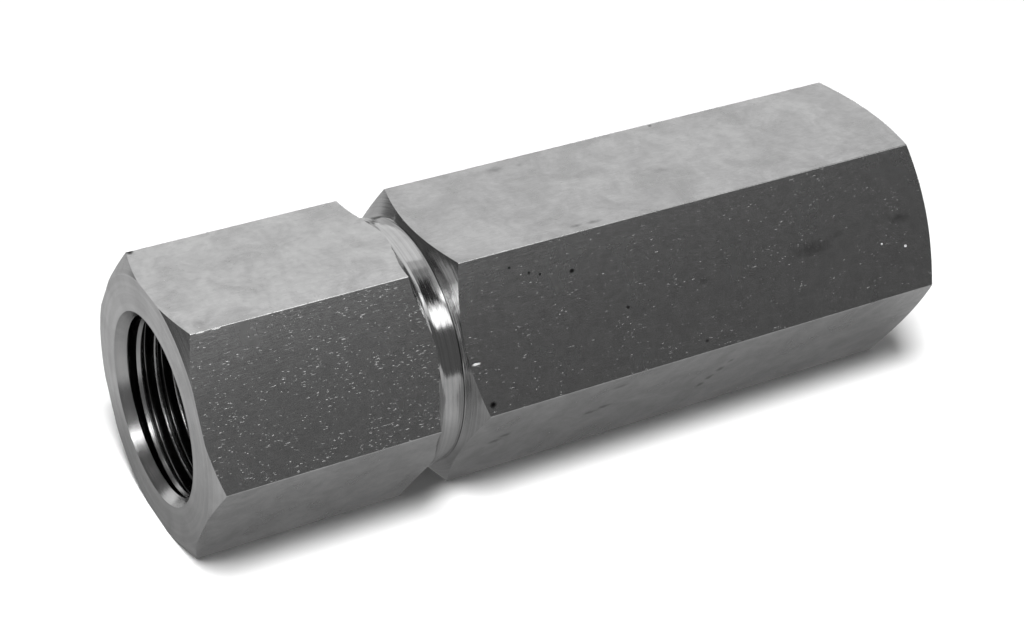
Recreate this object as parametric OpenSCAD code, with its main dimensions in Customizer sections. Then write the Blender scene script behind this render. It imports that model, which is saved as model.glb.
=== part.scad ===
// Inline non-return valve. Two pieces of hexagon bar are screwed together over a sprung poppet.
// Millimetres. The flow runs along +X, from the end cap's port to the body's port, and +Z is up.
// The origin is on the flow axis, half way between the two end faces.
// Every distance named "from the inlet" is measured along the flow from the end cap's face.

/* [Hexagon bar] */
// Width across the flats of both pieces
across_flats = 27; // [26.5:0.25:29]
// Length of the whole valve between its end faces
overall_len = 85.6; // [85:0.2:95]
// Distance from the inlet at which the end cap's hexagon ends
cap_hex_len = 23.76; // [21:0.04:24]
// Diameter of the round end faces, at which the corners start to be cut away
end_face_dia = 27.8; // [26.5:0.1:28.4]
// Slope of the cut on the corners, away from the end face
end_cut_angle = 30; // [15:1:45]

/* [Turned neck] */
// Distance from the inlet of the seam where the end cap meets the body
seam_from_inlet = 27.8; // [27.2:0.1:28.6]
// Diameter of the end cap's round collar
collar_dia = 26; // [25:0.1:26.4]
// Broken edge of the collar beside the seam
collar_edge = 0.15; // [0.05:0.05:0.3]
// Diameter at which the slope of the body's end starts
body_nose_dia = 26.14; // [25:0.02:26.4]
// Broken edge of the body beside the seam
body_edge = 0.25; // [0.05:0.05:0.4]
// Slope of the body's end, away from the seam's plane
body_cut_angle = 22; // [10:1:40]

/* [Ports] */
// Diameter of the ports' bores, at the crests of their half-inch pipe thread
port_bore_dia = 18.631; // [16:0.001:19]
// Depth of each port to the end of its full bore
port_depth = 14.6; // [12:0.1:14.9]
// Diameter of the countersink at each port's mouth
countersink_dia = 19.9; // [19.2:0.1:21]
// Angle of the countersink, side to side
countersink_angle = 60; // [45:5:90]
// Angle of the drill point at the bottom of each port, side to side
drill_angle = 118; // [90:1:140]
// Diameter of the throats that join the ports to the chamber
throat_dia = 12.5; // [10:0.1:12.6]

/* [Screwed joint] */
// Diameter of the end cap's shank, at the middle of its thread's height
shank_dia = 19; // [18.6:0.1:19.4]
// Length of the undercut beside the collar
undercut_len = 1.5; // [0.8:0.1:2]
// Diameter of that undercut
undercut_dia = 17.6; // [16.5:0.1:18]
// Distance from the seam to the end of the shank's thread
shank_thread_end = 10.6; // [9:0.1:10.8]
// Slope that ends the shank's thread, along the axis
shank_end_len = 0.5; // [0.3:0.1:0.7]
// Distance from the seam to the end of the pilot, which is the seat's outer edge
spigot_len = 18.2; // [17.8:0.1:18.4]
// Radial gap between the shank and the screwed bore
thread_gap = 0.02; // [0.01:0.01:0.05]
// Radial gap between the pilot and the guide bore
pilot_gap = 0.04; // [0.02:0.01:0.06]
// Diameter of the lead-in at the body's mouth
mouth_dia = 20.6; // [20:0.1:21.5]
// Distance from the seam to the end of the body's screwed bore
screwed_bore_len = 10.9; // [10.8:0.1:11]
// Diameter of the relief groove at the end of the screwed bore
relief_dia = 20.4; // [19.8:0.1:21]
// Length of that groove
relief_len = 1; // [0.6:0.1:1.2]
// Length of the slope that leads the seal into the guide bore
lead_in_len = 1.3; // [0.8:0.1:1.4]

/* [Seals] */
// Diameter at the bottom of the seal groove
groove_dia = 15.12; // [15:0.02:15.4]
// Distance from the seam to the start of the seal groove
groove_from_seam = 13.5; // [13.4:0.1:13.6]
// Width of the seal groove
groove_len = 3.4; // [3.2:0.1:3.5]
// Thickness of the back-up ring along the axis
backup_len = 1.2; // [1:0.1:1.3]
// Gap around the seals in their groove
seal_gap = 0.02; // [0.01:0.01:0.04]

/* [Chamber] */
// Diameter of the body's guide bore
guide_bore_dia = 18; // [17.9:0.02:18.1]
// Distance from the inlet of the shoulder that carries the spring
shoulder_from_inlet = 67.4; // [67:0.1:67.6]
// Outer diameter of the conical seat in the end cap
seat_dia = 14; // [13.4:0.1:14.2]
// Gap between the closed poppet and its seat, along the axis
seat_gap = 0.02; // [0.01:0.01:0.05]

/* [Poppet] */
// Radial gap between the poppet's skirt and the guide bore
running_gap = 0.03; // [0.01:0.01:0.06]
// Diameter of the flat on the poppet's nose
nose_dia = 5; // [3:0.5:7]
// Diameter of the neck behind the cone
neck_dia = 14.8; // [14.4:0.1:15.2]
// Distance from the seat's outer edge to the end of the neck
neck_end = 5.2; // [5:0.1:5.4]
// Length of the slope from the neck up to the skirt
skirt_slope_len = 1; // [0.6:0.1:1.5]
// Distance from the seat's outer edge to the end of the skirt
skirt_end = 16.4; // [16:0.1:16.4]
// Broken edge at the end of the skirt
skirt_edge = 0.4; // [0.2:0.1:0.6]
// Diameter of the bore inside the neck
core_dia = 10.4; // [9.6:0.1:10.8]
// Distance from the seat's outer edge to the bottom of that bore
core_start = 0.9; // [0.7:0.1:1.2]
// Diameter of the bore that holds the spring
spring_bore_dia = 15.4; // [15.2:0.1:15.8]
// Distance from the seat's outer edge to the step that carries the spring
spring_step = 7; // [6.8:0.1:7.4]
// Number of cross holes through the neck
cross_holes = 6; // [4:1:6]
// Diameter of each cross hole
cross_hole_dia = 4.4; // [3.6:0.1:4.6]
// Distance from the seat's outer edge to the middle of the cross holes
cross_hole_at = 2.9; // [2.7:0.1:3]

/* [Spring] */
// Diameter of the spring wire
wire_dia = 1.2; // [1:0.05:1.25]
// Mean diameter of the coils
coil_dia = 13.9; // [13.8:0.05:14]
// Turns between the two closed end turns
working_turns = 4; // [3:0.5:5]
// Rise of a closed end turn, a hair over the wire
closed_pitch = 1.23; // [1.21:0.01:1.3]

/* [Hidden] */
$fn = 128;

corner_r = across_flats / sqrt(3);
// Turned outlines run out past the corners of the hexagon by this much
past_corner = 1;
outside_r = corner_r + past_corner;

// The fillet leaves the hexagon's corners square to the axis and runs into the collar
fillet_r = corner_r - collar_dia / 2;
fillet_end = cap_hex_len + fillet_r;

bore_r = port_bore_dia / 2;
throat_r = throat_dia / 2;
countersink_len = (countersink_dia / 2 - bore_r) / tan(countersink_angle / 2);
drill_len = (bore_r - throat_r) / tan(drill_angle / 2);

seat_at = seam_from_inlet + spigot_len;
pilot_r = guide_bore_dia / 2 - pilot_gap;
groove_at = seam_from_inlet + groove_from_seam;

// The poppet's cone and its seat stand at 45 degrees, so radius and length change alike
closed_at = seat_at + seat_gap;
skirt_r = guide_bore_dia / 2 - running_gap;
nose_at = closed_at - (seat_dia - nose_dia) / 2;
cone_end = closed_at + (neck_dia - seat_dia) / 2;
core_point = core_dia / 2 / tan(drill_angle / 2);

spring_start = closed_at + spring_step;
spring_len = shoulder_from_inlet - spring_start;
wire_sides = 8;
steps_per_turn = 24;
all_turns = working_turns + 2;
working_pitch = (spring_len - 2 * closed_pitch) / working_turns;

ring_mid_r = (groove_dia + guide_bore_dia) / 4;
ring_section_r = (guide_bore_dia - groove_dia) / 4 - seal_gap;

steel = [0.62, 0.62, 0.61];
bright_steel = [0.72, 0.72, 0.72];
spring_steel = [0.45, 0.45, 0.47];
black_rubber = [0.06, 0.06, 0.06];
white_plastic = [0.88, 0.87, 0.84];

// Turns a shape that stands on the XY plane to lie along the flow, measured from the inlet
module along_flow() {
    translate([-overall_len / 2, 0, 0]) rotate([90, 0, 90]) children();
}

// Hexagon bar, cut to the turned outline that its child draws as radius and distance
module turned_hexagon() {
    intersection() {
        cylinder(r = corner_r, h = overall_len, $fn = 6);
        rotate_extrude() children();
    }
}

// A port as it is bored from an end face: countersink, full bore, drill point and throat
module port_cut(throat_end) {
    rotate_extrude() polygon([
        [0, -past_corner],
        [countersink_dia / 2 + past_corner * tan(countersink_angle / 2), -past_corner],
        [bore_r, countersink_len],
        [bore_r, port_depth],
        [throat_r, port_depth + drill_len],
        [throat_r, throat_end],
        [0, throat_end]
    ]);
}

// Outline of the end cap: cut corners, hexagon, concave fillet, collar and shank
module cap_outline() {
    cut_len = (outside_r - end_face_dia / 2) * tan(end_cut_angle);
    difference() {
        polygon([
            [0, 0],
            [end_face_dia / 2, 0],
            [outside_r, cut_len],
            [outside_r, fillet_end],
            [collar_dia / 2, fillet_end],
            [collar_dia / 2, seam_from_inlet - collar_edge],
            [collar_dia / 2 - collar_edge, seam_from_inlet],
            [undercut_dia / 2, seam_from_inlet],
            [undercut_dia / 2, seam_from_inlet + undercut_len],
            [shank_dia / 2, seam_from_inlet + undercut_len],
            [shank_dia / 2, seam_from_inlet + shank_thread_end],
            [pilot_r, seam_from_inlet + shank_thread_end + shank_end_len],
            [pilot_r, groove_at],
            [groove_dia / 2, groove_at],
            [groove_dia / 2, groove_at + groove_len],
            [pilot_r, groove_at + groove_len],
            [pilot_r, seat_at],
            [0, seat_at]
        ]);
        translate([corner_r, fillet_end]) circle(r = fillet_r);
    }
}

module end_cap() {
    color(steel) along_flow() difference() {
        turned_hexagon() cap_outline();
        port_cut(seat_at + past_corner);
        rotate_extrude() polygon([
            [0, seat_at - (seat_dia / 2)],
            [seat_dia / 2 + past_corner, seat_at + past_corner],
            [0, seat_at + past_corner]
        ]);
    }
}

// Outline of the body: broken edge and slope at the seam, hexagon, cut corners at the outlet
module body_outline() {
    nose_r = body_nose_dia / 2;
    slope_at = seam_from_inlet + body_edge;
    end_r = end_face_dia / 2;
    polygon([
        [0, seam_from_inlet],
        [nose_r - body_edge, seam_from_inlet],
        [nose_r, slope_at],
        [outside_r, slope_at + (outside_r - nose_r) * tan(body_cut_angle)],
        [outside_r, overall_len - (outside_r - end_r) * tan(end_cut_angle)],
        [end_r, overall_len],
        [0, overall_len]
    ]);
}

// The chamber as it is bored from the seam: screwed bore, relief, lead-in and guide bore
module chamber_cut() {
    screwed_r = shank_dia / 2 + thread_gap;
    lead_r = mouth_dia / 2;
    relief_at = seam_from_inlet + screwed_bore_len;
    lead_in_at = relief_at + relief_len;
    rotate_extrude() polygon([
        [0, seam_from_inlet - past_corner],
        [lead_r + past_corner, seam_from_inlet - past_corner],
        [screwed_r, seam_from_inlet + lead_r - screwed_r],
        [screwed_r, relief_at],
        [relief_dia / 2, relief_at],
        [relief_dia / 2, lead_in_at],
        [screwed_r, lead_in_at],
        [guide_bore_dia / 2, lead_in_at + lead_in_len],
        [guide_bore_dia / 2, shoulder_from_inlet],
        [0, shoulder_from_inlet]
    ]);
}

module body() {
    color(steel) along_flow() difference() {
        turned_hexagon() body_outline();
        chamber_cut();
        translate([0, 0, overall_len]) mirror([0, 0, 1])
            port_cut(overall_len - shoulder_from_inlet + past_corner);
    }
}

// Outline of the poppet: flat nose, cone, neck, slope and skirt, and the stepped bore inside it
module poppet_outline() {
    skirt_at = closed_at + neck_end + skirt_slope_len;
    end_at = closed_at + skirt_end;
    polygon([
        [0, nose_at],
        [nose_dia / 2, nose_at],
        [neck_dia / 2, cone_end],
        [neck_dia / 2, closed_at + neck_end],
        [skirt_r, skirt_at],
        [skirt_r, end_at - skirt_edge],
        [skirt_r - skirt_edge, end_at],
        [spring_bore_dia / 2, end_at],
        [spring_bore_dia / 2, closed_at + spring_step],
        [core_dia / 2, closed_at + spring_step],
        [core_dia / 2, closed_at + core_start],
        [0, closed_at + core_start - core_point]
    ]);
}

module poppet() {
    color(bright_steel) along_flow() difference() {
        rotate_extrude() poppet_outline();
        for (i = [0 : cross_holes - 1])
            rotate([0, 0, i * 360 / cross_holes])
                translate([0, 0, closed_at + cross_hole_at])
                    rotate([0, 90, 0]) cylinder(d = cross_hole_dia, h = neck_dia, $fn = 48);
    }
}

// Height of the wire's middle after a number of turns: closed turn, working turns, closed turn
function coil_height(turn) =
    closed_pitch * min(turn, 1)
    + working_pitch * max(0, min(turn - 1, working_turns))
    + closed_pitch * max(0, turn - 1 - working_turns);

// Points of the wire's section at one turn. Where an end plane grinds the wire, they stand on the
// arc that is left, and the flat lies between the first and the last of that arc.
function wire_ring(turn) =
    let (
        middle = coil_height(turn),
        in_plane = min(1, 2 * min(middle, spring_len - middle) / wire_dia),
        dip = min(90 - 180 / wire_sides, asin(in_plane)),
        step = (180 + 2 * dip) / (wire_sides - 1),
        near_start = middle < spring_len / 2
    )
    [
        for (i = [0 : wire_sides - 1])
            let (
                past_half = (i + wire_sides / 2) % wire_sides,
                angle = near_start ? i * step - dip : 180 - dip + past_half * step,
                out = coil_dia / 2 + wire_dia / 2 * cos(angle)
            )
            [out * cos(360 * turn), out * sin(360 * turn), middle + wire_dia / 2 * sin(angle)]
    ];

module spring() {
    rings = all_turns * steps_per_turn;
    points = [for (k = [0 : rings]) each wire_ring(k / steps_per_turn)];
    sides = [
        for (k = [0 : rings - 1], i = [0 : wire_sides - 1])
            let (a = k * wire_sides, b = a + wire_sides, j = (i + 1) % wire_sides)
            each [[a + i, a + j, b + j], [a + i, b + j, b + i]]
    ];
    first = [for (i = [wire_sides - 1 : -1 : 0]) i];
    last = [for (i = [0 : wire_sides - 1]) rings * wire_sides + i];
    color(spring_steel) along_flow() translate([0, 0, spring_start])
        polyhedron(points = points, faces = concat([first, last], sides), convexity = 10);
}

module o_ring() {
    ring_at = groove_at + backup_len + 2 * seal_gap + ring_section_r;
    color(black_rubber) along_flow() translate([0, 0, ring_at])
        rotate_extrude() translate([ring_mid_r, 0]) circle(r = ring_section_r, $fn = 32);
}

module backup_ring() {
    inner_r = groove_dia / 2 + seal_gap;
    outer_r = guide_bore_dia / 2 - seal_gap;
    color(white_plastic) along_flow() translate([0, 0, groove_at + seal_gap])
        rotate_extrude() translate([inner_r, 0]) square([outer_r - inner_r, backup_len - seal_gap]);
}

end_cap();
body();
poppet();
spring();
o_ring();
backup_ring();
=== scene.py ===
import math

import bmesh
import bpy
from mathutils import Matrix, Vector


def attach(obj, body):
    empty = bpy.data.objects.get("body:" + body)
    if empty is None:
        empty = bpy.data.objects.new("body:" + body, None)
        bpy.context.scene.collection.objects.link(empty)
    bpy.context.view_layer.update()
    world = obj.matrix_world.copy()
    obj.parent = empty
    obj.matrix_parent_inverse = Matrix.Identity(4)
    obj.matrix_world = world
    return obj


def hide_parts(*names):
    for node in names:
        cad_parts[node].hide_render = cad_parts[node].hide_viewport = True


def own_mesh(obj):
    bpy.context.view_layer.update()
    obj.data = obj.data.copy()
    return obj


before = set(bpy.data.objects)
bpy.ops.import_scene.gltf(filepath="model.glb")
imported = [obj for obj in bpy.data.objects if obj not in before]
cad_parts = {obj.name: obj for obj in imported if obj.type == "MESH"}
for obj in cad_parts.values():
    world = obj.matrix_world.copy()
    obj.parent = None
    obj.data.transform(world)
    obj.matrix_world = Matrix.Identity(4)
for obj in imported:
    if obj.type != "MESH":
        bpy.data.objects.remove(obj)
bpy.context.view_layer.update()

# Inline non-return valve. Metres, in the CAD frame: the flow runs along +X and +Z is up.
# Outlines are written in millimetres, and their lengths start from the inlet's face.
mm = 0.001
inletX = -42.8              # where the inlet's face lies, in millimetres
turn = 2 * math.pi

bar = {
    "acrossFlats": 27.0,
    "pastCorner": 1.0,      # turned outlines run out past the corners
    "spare": 0.5,           # length sawn off by the facing cut
    "turnedSteps": 192,
    "brokenEdge": 0.09,     # taken off each side of a corner
    "cornerSteps": 3,
    "sharpAbove": 22,       # steeper edges stay sharp, degrees
    "neckReach": 5,         # how far past the neck the fine turning goes
}
bar["corner"] = bar["acrossFlats"] / math.sqrt(3)
bar["outside"] = bar["corner"] + bar["pastCorner"]

port = {
    "mouth": 9.95,          # radius of the countersink's mouth
    "crest": 9.3155,        # radius of the thread's crests
    "countersink": 1.0991,  # length
    "full": 14.6,           # depth of the full bore
    "throat": 6.25,
    "drillPoint": 1.8417,
}

thread = {
    "root": 10.4775,
    "pitch": 1.814,
    "rounding": 0.249,      # radius of crests and roots alike
    "flank": 27.5,
    "arcSteps": 3,
    "land": 0.03,           # half the width that stays untouched on a crest
    "inside": 0.3,          # how far inside the crests the cutters start
    "start": 1.14,          # just past the countersink
    "before": 2,            # turns cut before the first crest
    "turns": 8,
    "runOut": 1.2,          # turns over which the groove fades
    "clear": 0.05,          # how far inside the crests it ends
    "stepsPerTurn": 72,
    "crestAt": 2.2,         # middle of a crest, on the side that crestAngle gives
    "crestAngle": -50,
    "shave": 28,            # slope that takes the front off the first crest, degrees
    "shaveDepth": 0.07,
    "shaveBefore": 0.4,
    "shaveAfter": 0.3,
}

cleaning = {
    "weld": 1e-7,           # metres, as the next two
    "sliver": 2e-6,         # corners of a cut piece closer than this are one
    "shortest": 1e-6,       # edge that a cut piece may keep
    "flatWeight": 80,       # how strongly wide faces set the shading
}


def addObject(name, bm, materials):
    mesh = bpy.data.meshes.new(name)
    bm.to_mesh(mesh)
    bm.free()
    for material in materials:
        mesh.materials.append(material)
    made = bpy.data.objects.new(name, mesh)
    bpy.context.scene.collection.objects.link(made)
    return made


def endCutLength(look):
    # How far back the end cut reaches at the radius of the turned blank
    return (bar["outside"] - look["endFace"]) * math.tan(math.radians(look["endCut"]))


def cornerAt(bm, at, radius):
    return bm.verts.new(((at + inletX) * mm, radius * mm, 0))


def joinCorners(bm, corners):
    for first, second in zip(corners, corners[1:]):
        bm.edges.new((first, second))


def spinOutline(bm, steps):
    # Turns the outline about the flow axis, as on a lathe
    outline = bm.verts[:] + bm.edges[:]
    bmesh.ops.spin(bm, geom=outline, cent=(0, 0, 0), axis=(1, 0, 0), angle=turn,
                   steps=steps, use_merge=True)
    bmesh.ops.remove_doubles(bm, verts=bm.verts, dist=cleaning["weld"])
    bmesh.ops.recalc_face_normals(bm, faces=bm.faces)


def arcFrom(bm, start, centre, degrees, steps):
    # Carries a corner round an arc and returns the corner that it ends on
    turned = bmesh.ops.spin(bm, geom=[start], cent=centre, axis=(0, 0, 1),
                            angle=math.radians(degrees), steps=steps)
    return next(item for item in turned["geom_last"] if isinstance(item, bmesh.types.BMVert))


def cutWith(target, cutter, operation):
    # Applies one Boolean cut and removes the cutter
    cut = target.modifiers.new(operation.title(), "BOOLEAN")
    cut.object = cutter
    cut.operation = operation
    cut.solver = "EXACT"
    cut.material_mode = "TRANSFER"
    made = bpy.data.meshes.new_from_object(target.evaluated_get(bpy.context.evaluated_depsgraph_get()))
    target.modifiers.clear()
    old = target.data
    target.data = made
    bpy.data.meshes.remove(old)
    bpy.data.objects.remove(cutter)


def smoothFaces(piece, sharpAbove, softRange=(0, 0), softBelow=60):
    # Steep edges stay sharp, apart from those of the soft range, which blend into each other
    bm = bmesh.new()
    bm.from_mesh(piece.data)
    bmesh.ops.remove_doubles(bm, verts=bm.verts, dist=cleaning["sliver"])
    bmesh.ops.dissolve_degenerate(bm, edges=bm.edges, dist=cleaning["shortest"])
    loose = [edge for edge in bm.edges if not edge.link_faces]
    bmesh.ops.delete(bm, geom=loose, context="EDGES")
    for face in bm.faces:
        face.smooth = True
    for edge in bm.edges:
        at = [corner.co.x / mm - inletX for corner in edge.verts]
        soft = softRange[0] < min(at) and max(at) < softRange[1]
        edge.smooth = edge.calc_face_angle(0) < math.radians(softBelow if soft else sharpAbove)
    bm.to_mesh(piece.data)
    bm.free()


def weighNormals(piece):
    # Wide faces look flat right up to the narrow ones beside them
    weighted = piece.modifiers.new("Weighted normals", "WEIGHTED_NORMAL")
    weighted.keep_sharp = True
    weighted.weight = cleaning["flatWeight"]


def addNode(tree, kind, inputs=None, **settings):
    made = tree.nodes.new("ShaderNode" + kind)
    for name, value in settings.items():
        setattr(made, name, value)
    for name, value in (inputs or {}).items():
        if isinstance(value, bpy.types.NodeSocket):
            tree.links.new(value, made.inputs[name])
        else:
            made.inputs[name].default_value = value
    return made


def newMaterial(name, **shaderValues):
    material = bpy.data.materials.new(name)
    material.use_nodes = True
    shader = material.node_tree.nodes["Principled BSDF"]
    for socket, value in shaderValues.items():
        shader.inputs[socket.replace("_", " ")].default_value = value
    return material, material.node_tree, shader


def maths(tree, operation, first, second=0.0):
    return addNode(tree, "Math", {0: first, 1: second}, operation=operation).outputs[0]


def ramp(tree, value, low, high, outLow=0.0, outHigh=1.0, kind="SMOOTHSTEP"):
    made = addNode(tree, "MapRange", {"Value": value, "From Min": low, "From Max": high,
                                      "To Min": outLow, "To Max": outHigh})
    made.interpolation_type = kind
    return made.outputs["Result"]


def spread(tree, cloud, low, high):
    # Noise mostly lies between 0.3 and 0.7
    return ramp(tree, cloud, 0.3, 0.7, low, high)


def noise(tree, coordinates, scale, detail=3.0, roughness=0.5, distortion=0.0):
    made = addNode(tree, "TexNoise", {"Vector": coordinates, "Scale": scale, "Detail": detail,
                                      "Roughness": roughness, "Distortion": distortion})
    return made.outputs["Fac"]


def stretched(tree, coordinates, scale):
    return addNode(tree, "Mapping", {"Vector": coordinates, "Scale": scale}).outputs["Vector"]


def grey(tree, value):
    return addNode(tree, "CombineColor", {"Red": value, "Green": value, "Blue": value}).outputs["Color"]


def radiusOf(tree, place):
    split = addNode(tree, "SeparateXYZ", {"Vector": place}).outputs
    across = addNode(tree, "CombineXYZ", {"Y": split["Y"], "Z": split["Z"]}).outputs[0]
    length = addNode(tree, "VectorMath", {0: across}, operation="LENGTH").outputs["Value"]
    return split["X"], length


def addBump(tree, shader, height, depth):
    bump = addNode(tree, "Bump", {"Height": height, "Strength": 1.0, "Distance": depth * mm})
    tree.links.new(bump.outputs["Normal"], shader.inputs["Normal"])


def ovalReach(tree, place, edge, middle, along, across):
    # Distance from an oval's middle in half sizes, plus the uneven edge; in millimetres
    offset = addNode(tree, "VectorMath", {0: place, 1: tuple(part * mm for part in middle)},
                     operation="SUBTRACT").outputs[0]
    scaled = addNode(tree, "VectorMath", {0: offset, 1: (along * mm, across * mm, across * mm)},
                     operation="DIVIDE").outputs[0]
    reach = addNode(tree, "VectorMath", {0: scaled}, operation="LENGTH").outputs["Value"]
    return maths(tree, "ADD", reach, edge)


marking = {
    "unevenScale": 1800, "uneven": 1.1,
    "deep": 0.75, "deepFrom": 0.9, "faintFrom": 0.5, "markTo": 1.7,     # deep marks end sharply
    # the painted glints on nicks fade out between these
    "glintFrom": 1.2, "glintTo": 1.6,
}


def withMarks(tree, place, edge, tone, marks):
    # Dark marks, each with its depth; the fainter ones are soft
    for middle, along, across, depth in marks:
        reach = ovalReach(tree, place, edge, middle, along, across)
        fadeFrom = marking["deepFrom" if depth > marking["deep"] else "faintFrom"]
        tone = maths(tree, "MULTIPLY", tone,
                     ramp(tree, reach, fadeFrom, marking["markTo"], 1 - depth, 1.0))
    return tone


def nickGlintMask(tree, place, edge, glintNicks):
    # 1 where a nick or burr is painted pale from every side: a painted glint on rough bare metal
    mask = 0.0
    for middle, along, across in glintNicks:
        reach = ovalReach(tree, place, edge, middle, along, across)
        mask = maths(tree, "MAXIMUM", mask,
                     ramp(tree, reach, marking["glintFrom"], marking["glintTo"], 1.0, 0.0))
    return mask


drawnBar = {
    "roughness": 0.25, "bump": 0.012,
    # scales along and across the flow
    "grain": (900, 5200, 5200), "specks": (2200, 9000, 9000), "scratches": (420, 9000, 9000),
    "fineCloud": 4.5,       # times the scale of the large clouds
    "gatherScale": 420, "gathering": 0.2,       # specks lie in groups
    "fade": 0.2, "cloudGloss": 0.03,
}


def barSteel(name, look):
    # Drawn bar: clouded, with a grain and small bright scratches along the flow
    material, tree, shader = newMaterial(name, Metallic=1.0)
    place = addNode(tree, "TexCoord").outputs["Object"]
    cloud = noise(tree, place, look["cloudScale"], 5, 0.62, 0.7)
    fine = noise(tree, place, look["cloudScale"] * drawnBar["fineCloud"], 4, 0.6, 0.3)
    grain = noise(tree, stretched(tree, place, drawnBar["grain"]), 1.0, 3, 0.6)
    gathered = maths(tree, "MULTIPLY", noise(tree, place, drawnBar["gatherScale"], 3), drawnBar["gathering"])
    specks = noise(tree, stretched(tree, place, drawnBar["specks"]), 1.0, 1, 0.5)
    specks = maths(tree, "ADD", specks, gathered)
    scratches = noise(tree, stretched(tree, place, drawnBar["scratches"]), 1.0, 2, 0.6)
    tone = spread(tree, cloud, look["dark"], look["pale"])
    tone = maths(tree, "MULTIPLY", tone, spread(tree, fine, 0.94, 1.05))
    tone = maths(tree, "MULTIPLY", tone, ramp(tree, grain, 0.25, 0.75, 0.95, 1.03))
    edge = maths(tree, "MULTIPLY", noise(tree, place, marking["unevenScale"], 3), marking["uneven"])
    # nicks are painted pale: painted glints on the edges
    nickGlint = nickGlintMask(tree, place, edge, look["glintNicks"])
    tone = maths(tree, "MAXIMUM", withMarks(tree, place, edge, tone, look["marks"]), nickGlint)
    tree.links.new(grey(tree, tone), shader.inputs["Base Color"])
    gloss = drawnBar["cloudGloss"]
    smooth = spread(tree, cloud, drawnBar["roughness"] + gloss, drawnBar["roughness"] - gloss)
    tree.links.new(maths(tree, "MAXIMUM", smooth, nickGlint), shader.inputs["Roughness"])
    fade = drawnBar["fade"]
    pitting = ramp(tree, specks, look["speckFrom"], look["speckFrom"] + fade, kind="LINEAR")
    scoring = ramp(tree, scratches, look["scratchFrom"], look["scratchFrom"] + fade, kind="LINEAR")
    raised = maths(tree, "ADD", maths(tree, "MULTIPLY", pitting, look["speckHeight"]),
                   maths(tree, "MULTIPLY", scoring, look["scratchHeight"]))
    addBump(tree, shader, maths(tree, "ADD", maths(tree, "MULTIPLY", grain, look["grainHeight"]), raised),
            drawnBar["bump"])
    return material


turning = {
    "wanderScale": (20, 20, 20), "wander": 0.0004,      # the marks aren't quite the same all round
    "fineLines": 9000, "cloudScale": 260, "cloudGloss": 0.03,
    "coarseHeight": 1.4, "fineHeight": 0.5,
}


def turnedSteel(name, look):
    # Marks run round the flow axis: noise is read on length and radius alone
    material, tree, shader = newMaterial(name, Metallic=1.0)
    place = addNode(tree, "TexCoord").outputs["Object"]
    along, radius = radiusOf(tree, place)
    wander = noise(tree, stretched(tree, place, turning["wanderScale"]), 1.0, 2)
    path = addNode(tree, "CombineXYZ", {"X": along, "Y": radius,
                                        "Z": maths(tree, "MULTIPLY", wander, turning["wander"])}).outputs[0]
    coarse = noise(tree, path, look["lines"], 2, 0.6)
    fine = noise(tree, path, turning["fineLines"], 3, 0.6)
    cloud = noise(tree, place, turning["cloudScale"], 4, 0.6, 0.4)
    tone = spread(tree, cloud, look["dark"], look["pale"])
    tone = maths(tree, "MULTIPLY", tone, spread(tree, coarse, 0.9, 1.06))
    tree.links.new(grey(tree, tone), shader.inputs["Base Color"])
    gloss = turning["cloudGloss"]
    tree.links.new(spread(tree, cloud, look["roughness"] + gloss, look["roughness"] - gloss),
                   shader.inputs["Roughness"])
    addBump(tree, shader, maths(tree, "ADD", maths(tree, "MULTIPLY", coarse, turning["coarseHeight"]),
                                maths(tree, "MULTIPLY", fine, turning["fineHeight"])), look["bump"])
    return material


def threadSteel(name, look):
    # Cut thread, with painted shade in the grooves between its crests and on the crests deeper in
    material, tree, shader = newMaterial(name, Metallic=1.0)
    place = addNode(tree, "TexCoord").outputs["Object"]
    along, radius = radiusOf(tree, place)
    # painted shade: outside the crests the groove is darkened
    grooveShade = ramp(tree, radius, (port["crest"] + look["grooveShadeFrom"]) * mm, (port["crest"] + look["grooveShadeFull"]) * mm)
    cloud = noise(tree, place, look["cloudScale"], 4, 0.6, 0.4)
    bright = spread(tree, cloud, look["crestDark"], look["crestPale"])
    # painted shade: crests more than a few millimetres in from either port's face are darker
    depth = maths(tree, "ADD", maths(tree, "MULTIPLY", maths(tree, "ABSOLUTE", along), -1), -inletX * mm)
    bright = maths(tree, "MULTIPLY", bright, ramp(tree, depth, look["brightTo"] * mm, look["deepShadeFrom"] * mm,
                                                  1.0, look["deepShade"]))
    tone = addNode(tree, "Mix", {"Factor": grooveShade, "A": bright, "B": look["grooveShade"]}, data_type="FLOAT").outputs[0]
    tree.links.new(grey(tree, tone), shader.inputs["Base Color"])
    tree.links.new(spread(tree, cloud, *look["roughness"]), shader.inputs["Roughness"])
    shader.inputs["Coat Weight"].default_value = look["film"]
    shader.inputs["Coat Roughness"].default_value = look["filmRoughness"]
    shader.inputs["Coat IOR"].default_value = look["filmIor"]
    return material


def plainSteel(name, tone, roughness, scale, bumpDepth):
    material, tree, shader = newMaterial(name, Metallic=1.0)
    place = addNode(tree, "TexCoord").outputs["Object"]
    cloud = noise(tree, place, scale, 4, 0.6, 0.3)
    tree.links.new(grey(tree, spread(tree, cloud, tone * 0.9, tone * 1.08)),
                   shader.inputs["Base Color"])
    tree.links.new(spread(tree, cloud, roughness * 1.15, roughness * 0.9),
                   shader.inputs["Roughness"])
    addBump(tree, shader, noise(tree, place, scale * 12, 3), bumpDepth)
    return material


def softMaterial(name, colour, roughness, scale):
    material, tree, shader = newMaterial(name, Metallic=0.0)
    place = addNode(tree, "TexCoord").outputs["Object"]
    cloud = noise(tree, place, scale, 4)
    tone = addNode(tree, "Mix", {"Factor": cloud, 6: tuple(0.85 * part for part in colour) + (1,),
                                 7: tuple(min(1, 1.1 * part) for part in colour) + (1,)},
                   data_type="RGBA")
    tree.links.new(tone.outputs[2], shader.inputs["Base Color"])
    tree.links.new(spread(tree, cloud, roughness + 0.06, roughness - 0.04),
                   shader.inputs["Roughness"])
    return material


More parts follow.
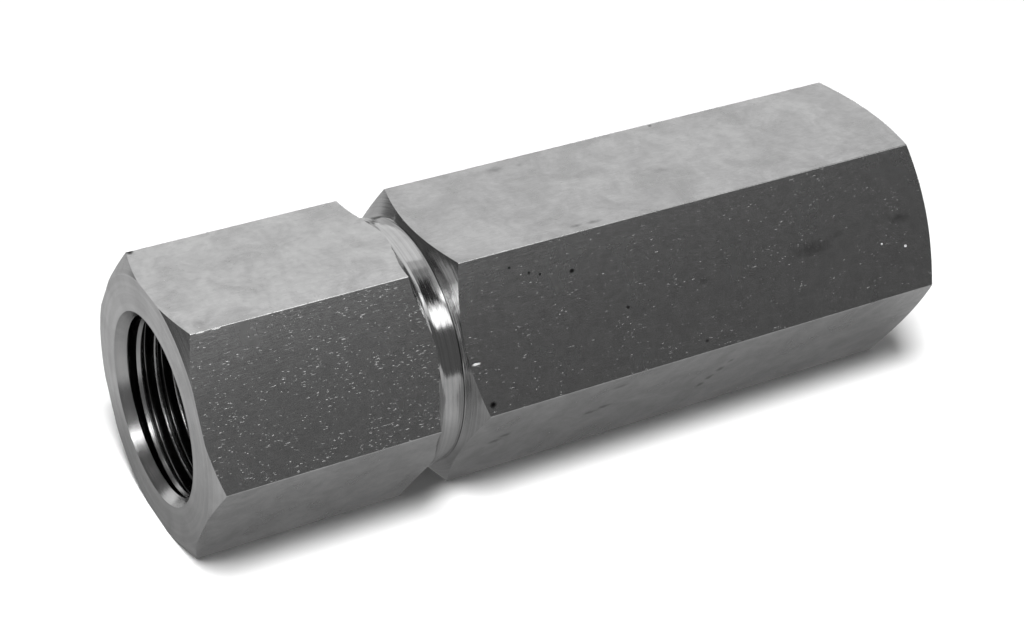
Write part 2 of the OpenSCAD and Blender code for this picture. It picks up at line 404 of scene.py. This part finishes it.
capSteel = barSteel("bar steel of the cap", {
    "cloudScale": 230, "dark": 0.41, "pale": 0.52, "grainHeight": 0.6,
    "speckFrom": 0.8, "speckHeight": 3.0, "scratchFrom": 0.73, "scratchHeight": 1.6,
    "marks": [
        ((-41.6, 7.6, 13.5), 0.5, 0.45, 0.95),      # knock on the back corner of the end
        ((-40.2, -6.6, 13.5), 0.9, 0.6, 0.25),
        ((-33.0, 2.0, 13.5), 2.0, 0.8, 0.12),
    ],
    # pale nicks, painted as glints on the edge
    "glintNicks": [
        ((-40.8, -7.82, 13.42), 0.6, 0.1),          # along the front edge of the top flat
        ((-39.2, -7.84, 13.4), 0.5, 0.1),
    ]})
bodySteel = barSteel("bar steel of the body", {
    "cloudScale": 190, "dark": 0.37, "pale": 0.47, "grainHeight": 0.9,
    "speckFrom": 0.83, "speckHeight": 2.8, "scratchFrom": 0.75, "scratchHeight": 1.5,
    "marks": [
        ((-1.3, 6.3, 13.5), 1.3, 0.7, 0.35),        # stains on the top flat
        ((1.6, 6.1, 13.5), 0.7, 0.5, 0.25),
        ((14.5, -1.1, 13.5), 1.2, 0.6, 0.2),
        ((18.75, 7.4, 13.5), 0.3, 0.3, 0.6),
        ((0.7, -6.8, 13.5), 0.9, 0.3, 0.4),
        ((2.6, -6.9, 13.5), 1.1, 0.35, 0.45),
        ((-8.2, -8.66, 12.0), 0.2, 0.18, 0.8),      # dots on the front flat
        ((-6.15, -9.16, 11.14), 0.18, 0.16, 0.8),
        ((-5.0, -9.37, 10.77), 0.18, 0.16, 0.8),
        ((-1.38, -9.65, 10.3), 0.32, 0.26, 0.9),
        ((4.1, -12.18, 5.9), 0.26, 0.22, 0.85),
        ((12.5, -14.99, 1.04), 0.3, 0.22, 0.6),
        ((13.4, -11.92, 6.35), 0.8, 0.4, 0.3),      # smudges
        ((27.3, -11.85, 6.45), 3.2, 1.1, 0.35),
        ((30.9, -11.5, 7.1), 1.0, 0.4, 0.2),
        ((39.2, -11.5, 7.0), 1.7, 0.7, 0.4),
        ((-13.0, -15.0, 1.0), 0.42, 0.42, 0.95),    # pit by the seam
        ((15.5, -10.9, -8.1), 0.6, 0.6, 0.7),       # slanting strokes on the lower flat
        ((16.1, -11.6, -6.9), 0.6, 0.7, 0.75),
        ((16.8, -12.4, -5.5), 0.6, 0.7, 0.7),
        ((17.4, -13.2, -4.1), 0.5, 0.5, 0.5),
        ((0.9, -11.85, -6.5), 1.1, 0.5, 0.65),
        ((2.4, -12.1, -6.1), 1.1, 0.5, 0.7),
        ((2.6, -14.4, -2.1), 1.3, 0.4, 0.4),
        ((-10.7, -11.9, -6.4), 0.9, 0.5, 0.6),
        ((-9.6, -12.3, -5.7), 0.9, 0.5, 0.7),
    ],
    # pale nicks, painted as glints on the edges and burrs
    "glintNicks": [
        ((-13.9, -12.9, 4.8), 0.6, 0.2),            # by the seam
        ((39.3, -13.1, 4.3), 0.2, 0.18),
        ((36.25, -12.65, 5.1), 0.14, 0.12),
    ]})
turnedFace = turnedSteel("turned steel", {
    "dark": 0.42, "pale": 0.5, "roughness": 0.24, "bump": 0.01, "lines": 2600})
turnedNeck = turnedSteel("fine turned steel", {
    "dark": 0.42, "pale": 0.5, "roughness": 0.13, "bump": 0.009, "lines": 4200})
cutThread = threadSteel("cut thread", {
    "cloudScale": 500, "roughness": (0.3, 0.2),
    "grooveShadeFrom": 0.1, "grooveShadeFull": 0.24, "grooveShade": 0.045,      # painted shade fills the groove from here outwards
    "crestDark": 0.36, "crestPale": 0.5,
    "brightTo": 3.0, "deepShadeFrom": 4.0, "deepShade": 0.5,        # painted shade: the crests further in are dimmer
    "film": 1.0, "filmRoughness": 0.16, "filmIor": 2.2})
groundSteel = plainSteel("ground steel", 0.6, 0.22, 500, 0.002)
springWire = plainSteel("drawn spring wire", 0.34, 0.3, 700, 0.003)
rubber = softMaterial("seal rubber", (0.02, 0.02, 0.02), 0.5, 900)
plastic = softMaterial("ring plastic", (0.72, 0.7, 0.66), 0.42, 500)
print("materials made")


camera = {"azimuth": -29.83, "elevation": 34.14, "roll": 2.44, "distance": 0.2254,
          "lens": 76.82, "sensor": 36, "shift": (0.084, 0.0046), "clip": (0.01, 20),
          "target": (-0.0124, 0, 0.00167)}


def fromObject(azimuth, elevation):
    a, e = math.radians(azimuth), math.radians(elevation)
    return Vector((math.sin(a) * math.cos(e), -math.cos(a) * math.cos(e), math.sin(e)))


def placeCamera(look):
    back = fromObject(look["azimuth"], look["elevation"])
    right = (-back).cross(Vector((0, 0, 1))).normalized()
    up = right.cross(-back)
    roll = math.radians(look["roll"])
    rolledRight = math.cos(roll) * right + math.sin(roll) * up
    rolledUp = math.cos(roll) * up - math.sin(roll) * right
    data = bpy.data.cameras.new("camera")
    data.lens = look["lens"]
    data.sensor_width = look["sensor"]
    data.shift_x, data.shift_y = look["shift"]
    data.clip_start, data.clip_end = look["clip"]
    made = bpy.data.objects.new("camera", data)
    turned = Matrix((rolledRight, rolledUp, back)).transposed().to_4x4()
    made.matrix_world = Matrix.Translation(Vector(look["target"]) + back * look["distance"]) @ turned
    bpy.context.scene.collection.objects.link(made)
    bpy.context.scene.camera = made


studio = {
    "floorSize": 6.0, "floorSides": 96, "floorTone": 0.82, "floorGlow": (0.01, 0.9), "worldLight": 0.15,
    # what mirrors show of the floor: a painted shadow right under the valve, brighter around it, and fainter
    # far away
    "mirroredTone": 0.09, "mirroredGlowAndShadow": (0.2, 0.5, 0.1), "shadowBox": (43, 12), "shadowFade": 13,
    "farFrom": (130, 260), "glowFrom": (160, 600),
    "key": {"azimuth": -35, "elevation": 66, "distance": 0.8, "width": 0.22, "height": 0.25, "power": 9.6},
    "cards": [
        # azimuth, elevation, distance, width, height, glow: only reflections show them
        ("dark front card", 22, 13, 0.13, 0.45, 0.097, 0.125),
        ("dark left card", -48, 13, 0.13, 0.125, 0.09, 0.14),
        ("dark side card", -120, 24, 1.0, 1.4, 1.1, 0.1),
        ("dark high card", -85, 58, 0.9, 0.72, 0.285, 0.08),
        ("dark top card", 77, 46, 1.0, 0.34, 0.34, 0.03),
        ("grey top card", 97, 46, 1.1, 0.243, 0.35, 0.3),
        ("pale top card", 111, 44, 1.1, 0.154, 0.35, 0.6),
        ("white front card", 55, 35, 0.6, 0.173, 0.12, 2.6),
        ("white top card", 42, 61, 0.6, 0.2, 0.08, 6.0),
        ("white side card", -67, 42, 1.0, 0.24, 0.15, 7.0),
        ("white corner card", -28, 57, 1.0, 0.24, 0.46, 6.0),
    ],
}


def glowMaterial(name, strength):
    material = bpy.data.materials.new(name)
    material.use_nodes = True
    tree = material.node_tree
    tree.nodes.clear()
    glow = addNode(tree, "Emission", {"Strength": strength})
    addNode(tree, "OutputMaterial", {"Surface": glow.outputs[0]})
    return material


def seenDirectly(tree):
    # 1 where the camera or a mirror looks, 0 where the surface only lights others
    rays = addNode(tree, "LightPath").outputs
    return maths(tree, "MAXIMUM", rays["Is Camera Ray"],
                 maths(tree, "MAXIMUM", rays["Is Glossy Ray"], rays["Is Transmission Ray"]))


def makeFloor(look):
    bm = bmesh.new()
    bmesh.ops.create_circle(bm, cap_ends=True, segments=look["floorSides"], radius=look["floorSize"] / 2)
    bmesh.ops.translate(bm, verts=bm.verts, vec=(0, 0, -bar["acrossFlats"] / 2 * mm))
    material = bpy.data.materials.new("pale floor")
    material.use_nodes = True
    tree = material.node_tree
    tree.nodes.clear()
    rays = addNode(tree, "LightPath").outputs
    mirrored = maths(tree, "MAXIMUM", rays["Is Glossy Ray"], rays["Is Transmission Ray"])
    # mirrors see a far darker floor than the camera does
    tone = addNode(tree, "Mix", {"Factor": mirrored, "A": look["floorTone"], "B": look["mirroredTone"]},
                   data_type="FLOAT").outputs[0]
    matt = addNode(tree, "BsdfDiffuse", {"Color": grey(tree, tone)})
    middle = addNode(tree, "TexCoord").outputs["Object"]
    place = addNode(tree, "SeparateXYZ", {"Vector": middle}).outputs
    # painted shadow: mirrors see less glow on the floor inside this box round the valve
    past = [maths(tree, "SUBTRACT", maths(tree, "ABSOLUTE", place[axis]), start * mm)
            for axis, start in zip("XY", look["shadowBox"])]
    shadowUnder, around, farAway = look["mirroredGlowAndShadow"]
    shownWithShadow = ramp(tree, maths(tree, "MAXIMUM", past[0], past[1]), 0, look["shadowFade"] * mm, shadowUnder, around)
    away = addNode(tree, "VectorMath", {0: middle}, operation="LENGTH").outputs["Value"]
    shownWithShadow = maths(tree, "MULTIPLY", shownWithShadow, ramp(tree, away, look["farFrom"][0] * mm, look["farFrom"][1] * mm,
                                                1.0, farAway / around))
    plain = ramp(tree, away, look["glowFrom"][0] * mm, look["glowFrom"][1] * mm, *look["floorGlow"])
    strength = maths(tree, "ADD", maths(tree, "MULTIPLY", rays["Is Camera Ray"], plain),
                     maths(tree, "MULTIPLY", mirrored, shownWithShadow))
    glow = addNode(tree, "Emission", {"Strength": strength})
    both = addNode(tree, "AddShader")
    tree.links.new(matt.outputs[0], both.inputs[0])
    tree.links.new(glow.outputs[0], both.inputs[1])
    addNode(tree, "OutputMaterial", {"Surface": both.outputs[0]})
    addObject("floor", bm, [material])


def makeCards(cards):
    for name, azimuth, elevation, distance, width, height, strength in cards:
        bm = bmesh.new()
        bmesh.ops.create_grid(bm, x_segments=1, y_segments=1, size=0.5)
        bmesh.ops.scale(bm, verts=bm.verts, vec=(width, height, 1))
        facing = fromObject(azimuth, elevation)
        placed = Matrix.Translation(facing * distance) @ facing.to_track_quat("Z", "Y").to_matrix().to_4x4()
        bmesh.ops.transform(bm, verts=bm.verts, matrix=placed)
        card = addObject(name, bm, [glowMaterial(name, strength)])
        card.visible_camera = False
        card.visible_diffuse = False
        card.visible_shadow = False


def makeLight(look):
    key = bpy.data.lights.new("key lamp", "AREA")
    key.shape = "RECTANGLE"
    key.size, key.size_y = look["key"]["width"], look["key"]["height"]
    key.energy = look["key"]["power"]
    lamp = bpy.data.objects.new("key lamp", key)
    facing = fromObject(look["key"]["azimuth"], look["key"]["elevation"])
    lamp.matrix_world = (Matrix.Translation(facing * look["key"]["distance"])
                         @ facing.to_track_quat("Z", "Y").to_matrix().to_4x4())
    lamp.visible_glossy = False
    bpy.context.scene.collection.objects.link(lamp)
    world = bpy.data.worlds.new("studio")
    bpy.context.scene.world = world
    world.use_nodes = True
    tree = world.node_tree
    tree.nodes.clear()
    strength = addNode(tree, "Mix", {"Factor": seenDirectly(tree), "A": look["worldLight"], "B": 1.0},
                       data_type="FLOAT").outputs[0]
    glow = addNode(tree, "Background", {"Color": (1, 1, 1, 1), "Strength": strength})
    addNode(tree, "OutputWorld", {"Surface": glow.outputs[0]})


placeCamera(camera)
makeFloor(studio)
makeCards(studio["cards"])
makeLight(studio)
bpy.context.scene.view_settings.view_transform = "Standard"
print("camera, floor and light set")


def hexagonBar(name, start, end, material):
    # The circle lies on XY with two corners on Y, which stay there as it is stood up
    bm = bmesh.new()
    bmesh.ops.create_circle(bm, cap_ends=True, segments=6, radius=bar["corner"] * mm)
    bmesh.ops.bevel(bm, geom=bm.verts[:], offset=bar["brokenEdge"] * mm, segments=bar["cornerSteps"],
                    profile=0.5, affect="VERTICES", material=-1)
    bmesh.ops.rotate(bm, verts=bm.verts, matrix=Matrix.Rotation(math.radians(90), 3, "Y"))
    pushed = bmesh.ops.extrude_face_region(bm, geom=bm.faces[:])
    moved = [item for item in pushed["geom"] if isinstance(item, bmesh.types.BMVert)]
    bmesh.ops.translate(bm, verts=moved, vec=((end - start) * mm, 0, 0))
    bmesh.ops.translate(bm, verts=bm.verts, vec=((start + inletX) * mm, 0, 0))
    bmesh.ops.recalc_face_normals(bm, faces=bm.faces)
    return addObject(name, bm, [material])


def grooveSection(look):
    # Right half of the pipe thread's groove: round crest, straight flank, round root
    steep = math.radians(90 - look["flank"])
    level = math.asin(look["land"] / look["rounding"])
    half = look["pitch"] / 2
    crest = [level + (steep - level) * step / look["arcSteps"] for step in range(look["arcSteps"] + 1)]
    root = [steep * (1 - step / look["arcSteps"]) for step in range(look["arcSteps"] + 1)]
    points = [(half - look["land"], port["crest"] - look["inside"])]
    points += [(half - look["rounding"] * math.sin(angle),
                port["crest"] + look["rounding"] * (1 - math.cos(angle))) for angle in crest]
    points += [(look["rounding"] * math.sin(angle),
                look["root"] - look["rounding"] * (1 - math.cos(angle))) for angle in root]
    return points


def threadCutter(name, look, atInlet=True):
    # One groove section, screwed along the flow by a spin that also moves
    bm = bmesh.new()
    right = grooveSection(look)
    left = [(-across, radius) for across, radius in reversed(right[:-1])]
    bm.faces.new([cornerAt(bm, across, radius) for across, radius in right + left])
    steps = look["turns"] * look["stepsPerTurn"]
    crest = look["crestAt"] - look["crestAngle"] / 360 * look["pitch"]
    start = crest - look["pitch"] / 2 - look["before"] * look["pitch"]
    bmesh.ops.translate(bm, verts=bm.verts, vec=(start * mm, 0, 0))
    bmesh.ops.spin(bm, geom=bm.faces[:], cent=(0, 0, 0), axis=(1, 0, 0),
                   dvec=(look["pitch"] / look["stepsPerTurn"] * mm, 0, 0),
                   angle=turn * look["turns"], steps=steps, use_merge=False)
    fade = look["runOut"] * look["pitch"]
    fadeFrom = (start + look["turns"] * look["pitch"] - fade + inletX) * mm
    depth = look["root"] - port["crest"] + look["clear"]
    for corner in bm.verts:
        past = min(1, max(0, (corner.co.x - fadeFrom) / (fade * mm)))
        shrink = 1 - past * depth / look["root"]
        corner.co.y *= shrink
        corner.co.z *= shrink
    cutAt = (look["start"] + inletX) * mm
    bmesh.ops.bisect_plane(bm, geom=bm.verts[:] + bm.edges[:] + bm.faces[:], plane_co=(cutAt, 0, 0),
                           plane_no=(1, 0, 0), clear_inner=True)
    rim = [edge for edge in bm.edges if edge.is_boundary]
    bmesh.ops.triangle_fill(bm, edges=rim, use_beauty=True)
    if not atInlet:
        bmesh.ops.rotate(bm, verts=bm.verts, matrix=Matrix.Rotation(math.pi, 3, "Z"))
    bmesh.ops.recalc_face_normals(bm, faces=bm.faces)
    return addObject(name, bm, [cutThread])


def crestCutter(name, look, atInlet=True):
    # A sloping face, screwed along the first crest for one turn
    bm = bmesh.new()
    slope = math.tan(math.radians(look["shave"]))
    floor = port["crest"] - look["inside"]
    before, after = look["shaveBefore"], look["shaveAfter"]
    middle = port["crest"] + look["shaveDepth"]
    section = ((-before, floor), (-before, middle + before * slope), (after, middle - after * slope),
               (after, floor))
    bm.faces.new([cornerAt(bm, across, radius) for across, radius in section])
    start = look["crestAt"] - look["crestAngle"] / 360 * look["pitch"] - look["pitch"] / 2
    bmesh.ops.translate(bm, verts=bm.verts, vec=(start * mm, 0, 0))
    bmesh.ops.rotate(bm, verts=bm.verts, matrix=Matrix.Rotation(-math.pi, 3, "X"))
    bmesh.ops.spin(bm, geom=bm.faces[:], cent=(0, 0, 0), axis=(1, 0, 0),
                   dvec=(look["pitch"] / look["stepsPerTurn"] * mm, 0, 0),
                   angle=turn, steps=look["stepsPerTurn"], use_merge=False)
    if not atInlet:
        bmesh.ops.rotate(bm, verts=bm.verts, matrix=Matrix.Rotation(math.pi, 3, "Z"))
    bmesh.ops.recalc_face_normals(bm, faces=bm.faces)
    return addObject(name, bm, [turnedFace])


def portOutline(faceAt, way):
    # From the mouth inwards; way is 1 at the inlet and -1 at the outlet
    return [(faceAt, port["mouth"]),
            (faceAt + way * port["countersink"], port["crest"]),
            (faceAt + way * port["full"], port["crest"]),
            (faceAt + way * (port["full"] + port["drillPoint"]), port["throat"])]


def useNeckSteel(bm, start, end):
    # Gives the faces between two lengths the blank's second steel
    for face in bm.faces:
        middle = face.calc_center_median().x / mm - inletX
        face.material_index = int(start < middle < end)


endCap = {
    "endFace": 13.75,       # radius at which the corners start to be cut away
    "endCut": 28,           # slope of that cut, degrees
    "hexEnd": 23.76, "neckRadius": 2.3, "neckSweep": 81, "neckSteps": 20,
    "collar": 13.0, "collarEdge": 0.15, "seam": 27.8,
    "undercut": 8.8, "undercutEnd": 29.3, "shank": 9.5, "shankEnd": 38.4, "pilotStart": 38.9,
    "pilot": 8.96, "groove": 7.56, "grooveStart": 41.3, "grooveEnd": 44.7, "end": 46.0,
    "seat": 7.0,
    "softAfter": 0.1, "softBefore": 1.0,        # smooth from past the hexagon's end to before the seam
}


def makeEndCap(look):
    cap = hexagonBar("endCap", -bar["spare"], look["end"], capSteel)
    bm = bmesh.new()
    before = [cornerAt(bm, *point) for point in (
        (0, look["endFace"]), (endCutLength(look), bar["outside"]), (look["hexEnd"], bar["outside"]),
        (look["hexEnd"], bar["corner"]))]
    joinCorners(bm, before)
    centre = ((look["hexEnd"] + look["neckRadius"] + inletX) * mm, bar["corner"] * mm, 0)
    arcEnd = arcFrom(bm, before[-1], centre, look["neckSweep"], look["neckSteps"])
    after = [cornerAt(bm, *point) for point in (
        (look["seam"] - look["collarEdge"], look["collar"]),
        (look["seam"], look["collar"] - look["collarEdge"]),
        (look["seam"], look["undercut"]), (look["undercutEnd"], look["undercut"]),
        (look["undercutEnd"], look["shank"]), (look["shankEnd"], look["shank"]),
        (look["pilotStart"], look["pilot"]), (look["grooveStart"], look["pilot"]),
        (look["grooveStart"], look["groove"]), (look["grooveEnd"], look["groove"]),
        (look["grooveEnd"], look["pilot"]), (look["end"], look["pilot"]), (look["end"], look["seat"]),
        (look["end"] - look["seat"] + port["throat"], port["throat"]),
        *reversed(portOutline(0, 1)))]
    joinCorners(bm, [arcEnd] + after + [before[0]])
    spinOutline(bm, bar["turnedSteps"])
    useNeckSteel(bm, look["hexEnd"] - bar["neckReach"], look["end"])
    turnedBlank = addObject("cap outline", bm, [turnedFace, turnedNeck])
    cutWith(cap, turnedBlank, "INTERSECT")
    cutWith(cap, threadCutter("inlet thread", thread), "DIFFERENCE")
    cutWith(cap, crestCutter("inlet crest", thread), "DIFFERENCE")
    smoothFaces(cap, bar["sharpAbove"],
                (look["hexEnd"] + look["softAfter"], look["seam"] - look["softBefore"]))
    weighNormals(cap)
    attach(cap, "housing")
    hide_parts("end_cap")


valveBody = {
    # radii and distances from the inlet's face, as on the end cap
    "endFace": 13.45, "endCut": 24.6,
    "seam": 27.8, "nose": 13.07, "noseEdge": 0.1, "slope": 29, "length": 85.6,
    "shoulder": 67.4, "guide": 9.0, "leadIn": 41.0, "screwed": 9.52, "relief": 10.2,
    "reliefStart": 38.7, "reliefEnd": 39.7, "mouth": 10.3,
}


def makeValveBody(look):
    body = hexagonBar("valveBody", look["seam"] - bar["spare"], look["length"] + bar["spare"], bodySteel)
    bm = bmesh.new()
    slopeAt = look["seam"] + look["noseEdge"]
    slopeLength = (bar["outside"] - look["nose"]) * math.tan(math.radians(look["slope"]))
    corners = [cornerAt(bm, *point) for point in (
        (look["seam"], look["nose"] - look["noseEdge"]), (slopeAt, look["nose"]),
        (slopeAt + slopeLength, bar["outside"]), (look["length"] - endCutLength(look), bar["outside"]),
        (look["length"], look["endFace"]), *portOutline(look["length"], -1),
        (look["shoulder"], port["throat"]), (look["shoulder"], look["guide"]),
        (look["leadIn"], look["guide"]), (look["reliefEnd"], look["screwed"]),
        (look["reliefEnd"], look["relief"]), (look["reliefStart"], look["relief"]),
        (look["reliefStart"], look["screwed"]),
        (look["seam"] + look["mouth"] - look["screwed"], look["screwed"]), (look["seam"], look["mouth"]))]
    joinCorners(bm, corners + corners[:1])
    spinOutline(bm, bar["turnedSteps"])
    useNeckSteel(bm, 0, look["seam"] + bar["neckReach"])
    turnedBlank = addObject("body outline", bm, [turnedFace, turnedNeck])
    cutWith(body, turnedBlank, "INTERSECT")
    cutWith(body, threadCutter("outlet thread", thread, atInlet=False), "DIFFERENCE")
    cutWith(body, crestCutter("outlet crest", thread, atInlet=False), "DIFFERENCE")
    smoothFaces(body, bar["sharpAbove"])
    weighNormals(body)
    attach(body, "housing")
    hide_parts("body")


makeEndCap(endCap)
makeValveBody(valveBody)
print("end cap and body made")


poppet = {
    "noseAt": 41.52, "nose": 2.5, "coneEnd": 46.42, "neck": 7.4, "neckEnd": 51.22,
    "slope": 1.0, "skirt": 8.97, "skirtEdge": 0.4, "end": 62.42, "springBore": 7.7, "springStep": 53.02,
    "core": 5.2, "coreStart": 46.92, "hole": 2.2, "holeAt": 48.92, "holes": 6, "holeSides": 48,
    "drillSlope": 31, "edge": 0.06, "edgeSteps": 2, "sharpAbove": 32,
}


def makePoppet(look):
    bm = bmesh.new()
    drillPoint = look["core"] * math.tan(math.radians(look["drillSlope"]))
    joinCorners(bm, [cornerAt(bm, *point) for point in (
        (look["noseAt"], 0), (look["noseAt"], look["nose"]), (look["coneEnd"], look["neck"]),
        (look["neckEnd"], look["neck"]), (look["neckEnd"] + look["slope"], look["skirt"]),
        (look["end"] - look["skirtEdge"], look["skirt"]), (look["end"], look["skirt"] - look["skirtEdge"]),
        (look["end"], look["springBore"]), (look["springStep"], look["springBore"]),
        (look["springStep"], look["core"]), (look["coreStart"], look["core"]),
        (look["coreStart"] - drillPoint, 0))])
    corners = [corner for corner in bm.verts if len(corner.link_edges) == 2]
    bmesh.ops.bevel(bm, geom=corners, offset=look["edge"] * mm, segments=look["edgeSteps"],
                    profile=0.5, affect="VERTICES", material=-1)
    spinOutline(bm, bar["turnedSteps"])
    made = addObject("valvePoppet", bm, [groundSteel])
    for number in range(look["holes"] // 2):        # each drill goes right through
        bm = bmesh.new()
        bmesh.ops.create_cone(bm, cap_ends=True, segments=look["holeSides"], radius1=look["hole"] * mm,
                              radius2=look["hole"] * mm, depth=3 * look["neck"] * mm)
        around = Matrix.Rotation(math.radians(90) + number * turn / look["holes"], 3, "X")
        bmesh.ops.rotate(bm, verts=bm.verts, matrix=around)
        bmesh.ops.translate(bm, verts=bm.verts, vec=((look["holeAt"] + inletX) * mm, 0, 0))
        cutWith(made, addObject("cross drill", bm, [groundSteel]), "DIFFERENCE")
    smoothFaces(made, look["sharpAbove"])
    weighNormals(made)
    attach(made, "poppet")
    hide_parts("poppet")


spring = {"start": 53.02, "end": 67.4, "wire": 0.6, "coil": 6.95, "wireSides": 14, "stepsPerTurn": 48,
          "closedPitch": 1.23, "workingTurns": 4, "lift": 4.9, "sharpAbove": 40}
spring["length"] = spring["end"] - spring["start"]
spring["workingPitch"] = (spring["length"] - 2 * spring["closedPitch"]) / spring["workingTurns"]


def makeSpring(look):
    bm = bmesh.new()
    bmesh.ops.create_circle(bm, cap_ends=True, segments=look["wireSides"], radius=look["wire"] * mm)
    bmesh.ops.translate(bm, verts=bm.verts, vec=((look["start"] + inletX) * mm, look["coil"] * mm, 0))
    section = bm.faces[:]
    closed, working = look["closedPitch"], look["workingPitch"]
    for turns, pitch in ((1, closed), (look["workingTurns"], working), (1, closed)):
        screwed = bmesh.ops.spin(bm, geom=section, cent=(0, 0, 0), axis=(1, 0, 0),
                                 dvec=(pitch / look["stepsPerTurn"] * mm, 0, 0), angle=turn * turns,
                                 steps=turns * look["stepsPerTurn"])
        section = [item for item in screwed["geom_last"] if isinstance(item, bmesh.types.BMFace)]
    # the sections where two of the spins meet stay inside the wire
    inner = [face for face in bm.faces if all(len(edge.link_faces) > 2 for edge in face.edges)]
    bmesh.ops.delete(bm, geom=inner, context="FACES_ONLY")
    for at, side in ((look["start"], -1), (look["end"], 1)):
        # the end turns are ground flat
        bmesh.ops.bisect_plane(bm, geom=bm.verts[:] + bm.edges[:] + bm.faces[:],
                               plane_co=((at + inletX) * mm, 0, 0), plane_no=(side, 0, 0), clear_outer=True)
        rim = [edge for edge in bm.edges if edge.is_boundary]
        bmesh.ops.triangle_fill(bm, edges=rim, use_beauty=True)
    bmesh.ops.recalc_face_normals(bm, faces=bm.faces)
    made = addObject("returnSpring", bm, [springWire])
    smoothFaces(made, look["sharpAbove"])
    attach(made, "housing")
    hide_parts("spring")
    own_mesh(made)


makePoppet(poppet)
makeSpring(spring)
for part, material in (("o_ring", rubber), ("backup_ring", plastic)):
    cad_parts[part].data.materials.clear()
    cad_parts[part].data.materials.append(material)
print("poppet, spring and rings made")
